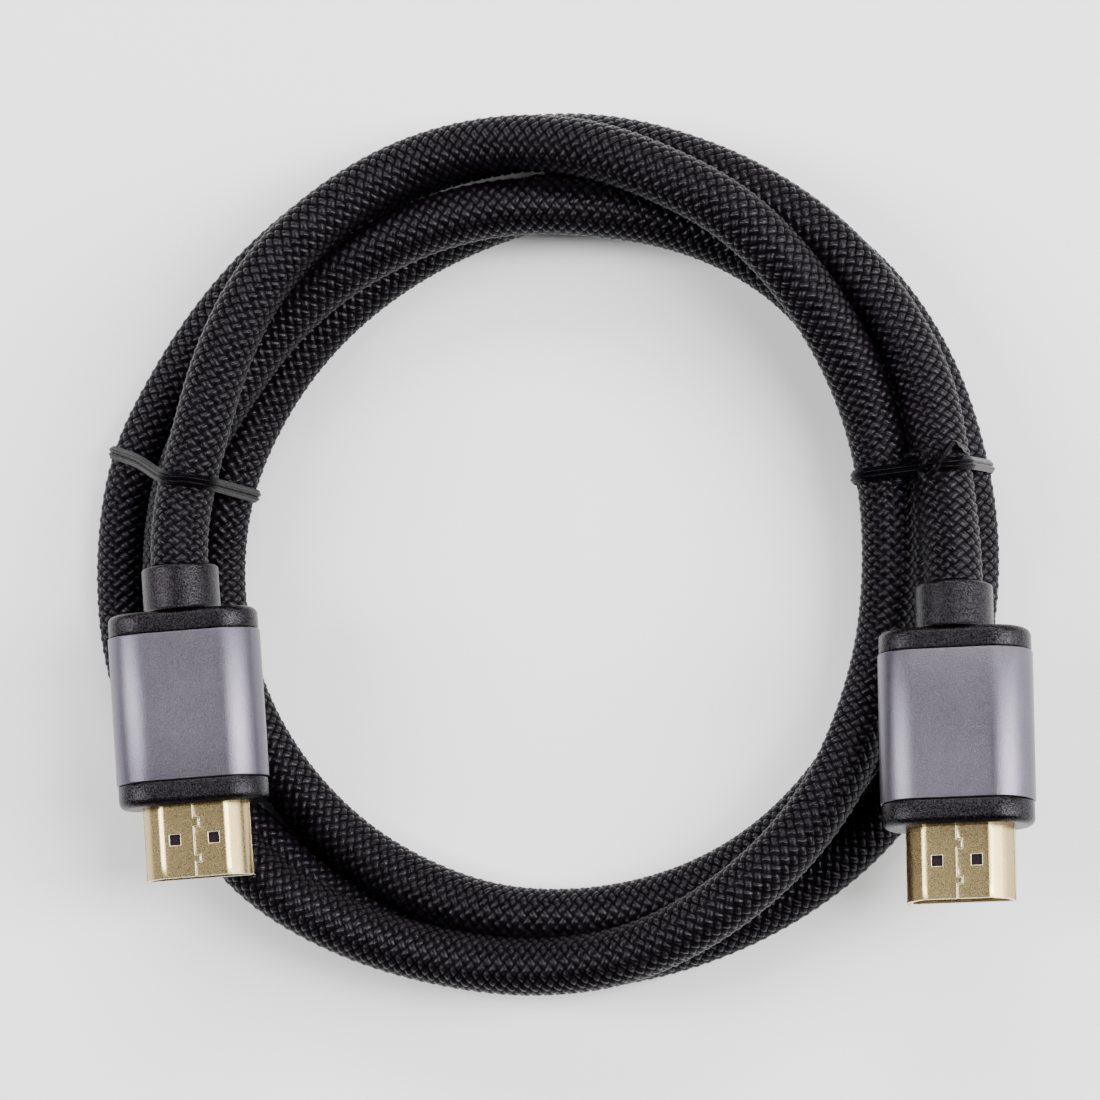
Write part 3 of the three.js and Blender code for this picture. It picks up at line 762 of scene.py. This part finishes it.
def is_cut(x, y):
    """Whether a cell of the narrow face lies in a window or in the seam."""
    in_window = (abs(abs(y) - WINDOW_SPACING / 2) < WINDOW_SIZE / 2
                 and abs(x + WINDOW_FROM_MOUTH) < WINDOW_SIZE / 2)
    in_tab = any(-end < x < -start for start, end in SEAM_TABS)
    at_end = any(abs(x + end) < SEAM_WIDTH / 2 for tab in SEAM_TABS for end in tab)
    run = SEAM_STEP if in_tab else 0.0
    on_run = abs(y - run) < SEAM_WIDTH / 2
    on_step = at_end and -SEAM_WIDTH / 2 < y < SEAM_STEP + SEAM_WIDTH / 2
    return in_window or on_step or (on_run and not at_end)


def make_shell(side):
    """The plated sheet shell, with its windows, its seam and its edges painted lighter as a
    highlight.
    """
    across = face_lines()
    narrow = [(y, SHELL_HEIGHT / 2) for y in across]
    bent = shell_outline()
    outline = np.vstack([bent, narrow])
    along = length_lines()
    count = len(outline)
    first_narrow = len(bent)
    local = np.vstack([np.column_stack([np.full(count, x), outline]) for x in along])
    faces = []
    for k in range(len(along) - 1):
        for m in range(count):
            n = (m + 1) % count
            in_face = first_narrow <= m < count - 1
            y = (outline[m, 0] + outline[n, 0]) / 2
            if in_face and is_cut((along[k] + along[k + 1]) / 2, y):
                continue
            faces.append([k * count + m, k * count + n, (k + 1) * count + n, (k + 1) * count + m])
    turn = np.array(plug_matrix(side))
    piece = mesh_piece(f"{side}_bent_shell", local @ turn[:3, :3].T + turn[:3, 3], faces)
    mesh = bmesh.new()
    mesh.from_mesh(piece.data)
    bmesh.ops.delete(mesh, geom=[v for v in mesh.verts if not v.link_faces], context="VERTS")
    bmesh.ops.recalc_face_normals(mesh, faces=mesh.faces)
    axis_point = Vector(to_row(turn[:3, 3]))
    outer = mesh.faces[0]
    if outer.normal.dot(outer.calc_center_median() - axis_point) < 0:
        bmesh.ops.reverse_faces(mesh, faces=mesh.faces)
    mesh.to_mesh(piece.data)
    mesh.free()
    sheet = piece.modifiers.new("sheet", "SOLIDIFY")
    sheet.thickness = SHELL_SHEET * MM
    sheet.offset = -1.0
    # The rims and bevels take the second material, a lighter gold painted on as a highlight.
    sheet.material_offset_rim = 1
    edges = piece.modifiers.new("edges", "BEVEL")
    edges.width = SHEET_EDGE * MM
    edges.segments = 2
    edges.limit_method = "ANGLE"
    edges.angle_limit = radians(SHEET_EDGE_ANGLE)
    edges.use_clamp_overlap = False
    edges.material = 1
    even = piece.modifiers.new("even_shading", "WEIGHTED_NORMAL")
    even.weight = 80
    return piece


plug_pieces = {}
for side in PLUG_SIDES:
    plug_pieces[f"{side}_sleeve"] = make_sleeve(side)
    plug_pieces[f"{side}_front_cap"] = make_front_cap(side)
    plug_pieces[f"{side}_overmould"] = make_overmould(side)
    plug_pieces[f"{side}_tie"] = make_tie(side)
    plug_pieces[f"{side}_shell"] = make_shell(side)


# Materials.
def new_material(name):
    material = bpy.data.materials.new(name)
    material.use_nodes = True
    nodes = material.node_tree.nodes
    return material, nodes, material.node_tree.links, nodes["Principled BSDF"]


def add_node(nodes, kind, inputs=None, **settings):
    node = nodes.new(kind)
    for key, value in settings.items():
        setattr(node, key, value)
    for key, value in (inputs or {}).items():
        node.inputs[key].default_value = value
    return node


def ramp_between(nodes, links, source, low, high, start=0.0, end=1.0):
    ramp = add_node(nodes, "ShaderNodeValToRGB")
    ramp.color_ramp.elements[0].position = start
    ramp.color_ramp.elements[1].position = end
    ramp.color_ramp.elements[0].color = (*low, 1)
    ramp.color_ramp.elements[1].color = (*high, 1)
    links.new(source, ramp.inputs["Fac"])
    return ramp.outputs["Color"]


def map_range(nodes, links, source, low, high, start=0.0, end=1.0):
    node = add_node(nodes, "ShaderNodeMapRange",
                    {"From Min": start, "From Max": end, "To Min": low, "To Max": high})
    links.new(source, node.inputs["Value"])
    return node.outputs["Result"]


def noise_on_piece(nodes, links, scale, detail, roughness=0.5):
    """Noise in the piece's own space, so that it stays put on the piece."""
    place = add_node(nodes, "ShaderNodeTexCoord")
    noise = add_node(nodes, "ShaderNodeTexNoise",
                     {"Scale": scale, "Detail": detail, "Roughness": roughness})
    links.new(place.outputs["Object"], noise.inputs["Vector"])
    return noise.outputs["Fac"]


def add_bump(nodes, links, shader, height, distance):
    bump = add_node(nodes, "ShaderNodeBump", {"Strength": 1.0, "Distance": distance})
    links.new(height, bump.inputs["Height"])
    links.new(bump.outputs["Normal"], shader.inputs["Normal"])


def braid_material():
    """Black nylon yarn: fine filaments along each yarn, a soft gloss and a tone for each crossing."""
    material, nodes, links, shader = new_material("braid")
    yarn = add_node(nodes, "ShaderNodeUVMap", uv_map="yarn")
    stretch = add_node(nodes, "ShaderNodeMapping", {"Scale": (9.0, 1.1, 1.0)})
    links.new(yarn.outputs["UV"], stretch.inputs["Vector"])
    noise = add_node(nodes, "ShaderNodeTexNoise", {"Scale": 1.0, "Detail": 3.0, "Roughness": 0.6})
    links.new(stretch.outputs["Vector"], noise.inputs["Vector"])
    fibres = noise.outputs["Fac"]

    tone = add_node(nodes, "ShaderNodeAttribute", attribute_name="tone")
    tone_share = add_node(nodes, "ShaderNodeMath", {1: 0.45}, operation="MULTIPLY")
    links.new(tone.outputs["Fac"], tone_share.inputs[0])
    mix = add_node(nodes, "ShaderNodeMath", {1: 0.55}, operation="MULTIPLY_ADD")
    links.new(fibres, mix.inputs[0])
    links.new(tone_share.outputs[0], mix.inputs[2])
    dark, light = (0.0013, 0.0009, 0.0015), (0.0044, 0.0034, 0.0048)
    colour = ramp_between(nodes, links, mix.outputs[0], dark, light, 0.3, 0.85)
    links.new(colour, shader.inputs["Base Color"])

    # Painted shade: the specular level is lowered in the crevices between yarns, so they stay dark
    # where shade falls.
    height = add_node(nodes, "ShaderNodeAttribute", attribute_name="height")
    gleam = map_range(nodes, links, height.outputs["Fac"], 0.01, 0.18, 0.1, 0.75)
    links.new(gleam, shader.inputs["Specular IOR Level"])
    links.new(map_range(nodes, links, fibres, 0.2, 0.36), shader.inputs["Roughness"])
    shader.inputs["Specular Tint"].default_value = SPECULAR_TINT
    shader.inputs["Anisotropic"].default_value = 0.65
    across = add_node(nodes, "ShaderNodeTangent", direction_type="UV_MAP", uv_map="yarn")
    links.new(across.outputs["Tangent"], shader.inputs["Tangent"])
    add_bump(nodes, links, shader, fibres, 0.06 * MM)
    return material


def grained_plastic(name, dark, light, gloss, shine=0.18, grain_height=0.1):
    """Moulded plastic with a fine spark-eroded grain."""
    material, nodes, links, shader = new_material(name)
    grain = noise_on_piece(nodes, links, 4600.0, 2.0, 0.55)
    patches = noise_on_piece(nodes, links, 260.0, 3.0)
    colour = ramp_between(nodes, links, patches, dark, light, 0.3, 0.7)
    links.new(colour, shader.inputs["Base Color"])
    rough = map_range(nodes, links, grain, gloss - 0.08, gloss + 0.12, 0.3, 0.7)
    links.new(rough, shader.inputs["Roughness"])
    gleam = map_range(nodes, links, grain, shine * 0.5, shine * 1.6, 0.38, 0.66)
    links.new(gleam, shader.inputs["Specular IOR Level"])
    shader.inputs["Specular Tint"].default_value = SPECULAR_TINT
    add_bump(nodes, links, shader, grain, grain_height * MM)
    return material


def anodised_material():
    """Bead-blasted aluminium, anodised a warm grey."""
    material, nodes, links, shader = new_material("sleeve_metal")
    blast = noise_on_piece(nodes, links, 6500.0, 2.0, 0.6)
    cloud = noise_on_piece(nodes, links, 180.0, 4.0)
    mix = add_node(nodes, "ShaderNodeMath", {1: 0.3}, operation="MULTIPLY_ADD")
    links.new(cloud, mix.inputs[0])
    links.new(blast, mix.inputs[2])
    dark, light = (0.09, 0.083, 0.104), (0.14, 0.129, 0.156)
    colour = ramp_between(nodes, links, mix.outputs[0], dark, light, 0.45, 0.9)
    links.new(colour, shader.inputs["Base Color"])
    shader.inputs["Metallic"].default_value = 1.0
    links.new(map_range(nodes, links, blast, 0.3, 0.4, 0.3, 0.7), shader.inputs["Roughness"])
    add_bump(nodes, links, shader, blast, 0.03 * MM)
    return material


def plated_material(name, dark, light, roughness):
    """Thin gold plating on sheet metal, faintly mottled."""
    material, nodes, links, shader = new_material(name)
    mottle = noise_on_piece(nodes, links, 7000.0, 3.0, 0.6)
    colour = ramp_between(nodes, links, mottle, dark, light, 0.3, 0.7)
    links.new(colour, shader.inputs["Base Color"])
    shader.inputs["Metallic"].default_value = 1.0
    rough = map_range(nodes, links, mottle, roughness - 0.05, roughness + 0.08, 0.3, 0.7)
    links.new(rough, shader.inputs["Roughness"])
    add_bump(nodes, links, shader, mottle, 0.002 * MM)
    return material


SPECULAR_TINT = (1.0, 0.93, 1.04, 1)
MATERIALS = {
    "braid": braid_material(),
    "black_plastic": grained_plastic(
        "black_plastic", (0.001, 0.0007, 0.0012), (0.0018, 0.0013, 0.002), 0.26, 0.2, 0.07),
    "insulator_plastic": grained_plastic(
        "insulator_plastic", (0.009, 0.0055, 0.0075), (0.013, 0.008, 0.011), 0.45, 0.06),
    "sleeve_metal": anodised_material(),
    "gold_plate": plated_material("gold_plate", (0.41, 0.31, 0.145), (0.46, 0.355, 0.175), 0.26),
    # Painted highlight: a lighter copy of the gold for the shell's rims and bevels.
    "gold_edge_highlight": plated_material("gold_edge_highlight", (0.9, 0.8, 0.56), (0.98, 0.9, 0.68), 0.45),
    "contact_plate": plated_material("contact_plate", (0.5, 0.37, 0.15), (0.6, 0.46, 0.2), 0.2),
    "tie_wrap": grained_plastic(
        "tie_wrap", (0.001, 0.0008, 0.0012), (0.002, 0.0016, 0.0022), 0.24, 0.045, 0.01),
}


def finish_with(piece, slot):
    piece.data.materials.clear()
    piece.data.materials.append(MATERIALS[slot])


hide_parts("cable")
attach(cable_jacket, "root")
finish_with(cable_jacket, "braid")
for piece in braid:
    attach(piece, "root")
    finish_with(piece, "braid")

SLOT_OF = {entry["node"]: entry["material_slot"] for entry in frame["record"]["subparts"]}
for node, piece in plug_pieces.items():
    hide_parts(node)
    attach(piece, "root")
    finish_with(piece, SLOT_OF[node])
    # The shell's second material is the lighter gold painted on its edges as a highlight.
    if SLOT_OF[node] == "gold_plate":
        piece.data.materials.append(MATERIALS["gold_edge_highlight"])

for node, slot in SLOT_OF.items():
    if node == "cable" or node in plug_pieces:
        continue
    solid = bpy.data.objects[node]
    for holder in solid.material_slots:
        holder.material = MATERIALS[slot]


# Floor and light.
def make_floor():
    mesh = bpy.data.meshes.new("floor")
    corners = [(x * FLOOR_REACH, y * FLOOR_REACH, 0) for x, y in ((-1, -1), (1, -1), (1, 1), (-1, 1))]
    mesh.from_pydata(corners, [], [(0, 1, 2, 3)])
    floor = link("floor", mesh)
    material, nodes, links, shader = new_material("floor")
    cloud = noise_on_piece(nodes, links, 3.0, 2.0)
    colour = ramp_between(nodes, links, cloud, (0.86, 0.86, 0.86), (0.88, 0.88, 0.88))
    links.new(colour, shader.inputs["Base Color"])
    shader.inputs["Roughness"].default_value = 0.9
    mesh.materials.append(material)


def softbox(name, towards, distance, size, power):
    data = bpy.data.lights.new(name, "AREA")
    data.shape = "RECTANGLE"
    data.size, data.size_y = size
    data.energy = power
    light = bpy.data.objects.new(name, data)
    bpy.context.scene.collection.objects.link(light)
    direction = Vector(towards).normalized()
    light.location = direction * distance
    light.rotation_euler = direction.to_track_quat("Z", "Y").to_euler()


def make_light():
    softbox("right_box", (0.95, 0.1, 1.0), 1.3, (0.4, 1.1), 40.0)
    softbox("left_box", (-0.95, 0.1, 1.0), 1.3, (0.34, 1.1), 24.0)
    softbox("side_card", (1.0, 0.0, 0.2), 0.8, (0.9, 0.24), 3.0)
    softbox("top_box", (0.1, 1.1, 1.0), 1.3, (1.0, 0.36), 16.0)
    world = bpy.data.worlds.new("studio")
    world.use_nodes = True
    world.node_tree.nodes["Background"].inputs["Color"].default_value = (1.0, 1.0, 1.0, 1)
    world.node_tree.nodes["Background"].inputs["Strength"].default_value = 0.08
    bpy.context.scene.world = world


make_floor()
make_light()

bpy.context.view_layer.update()
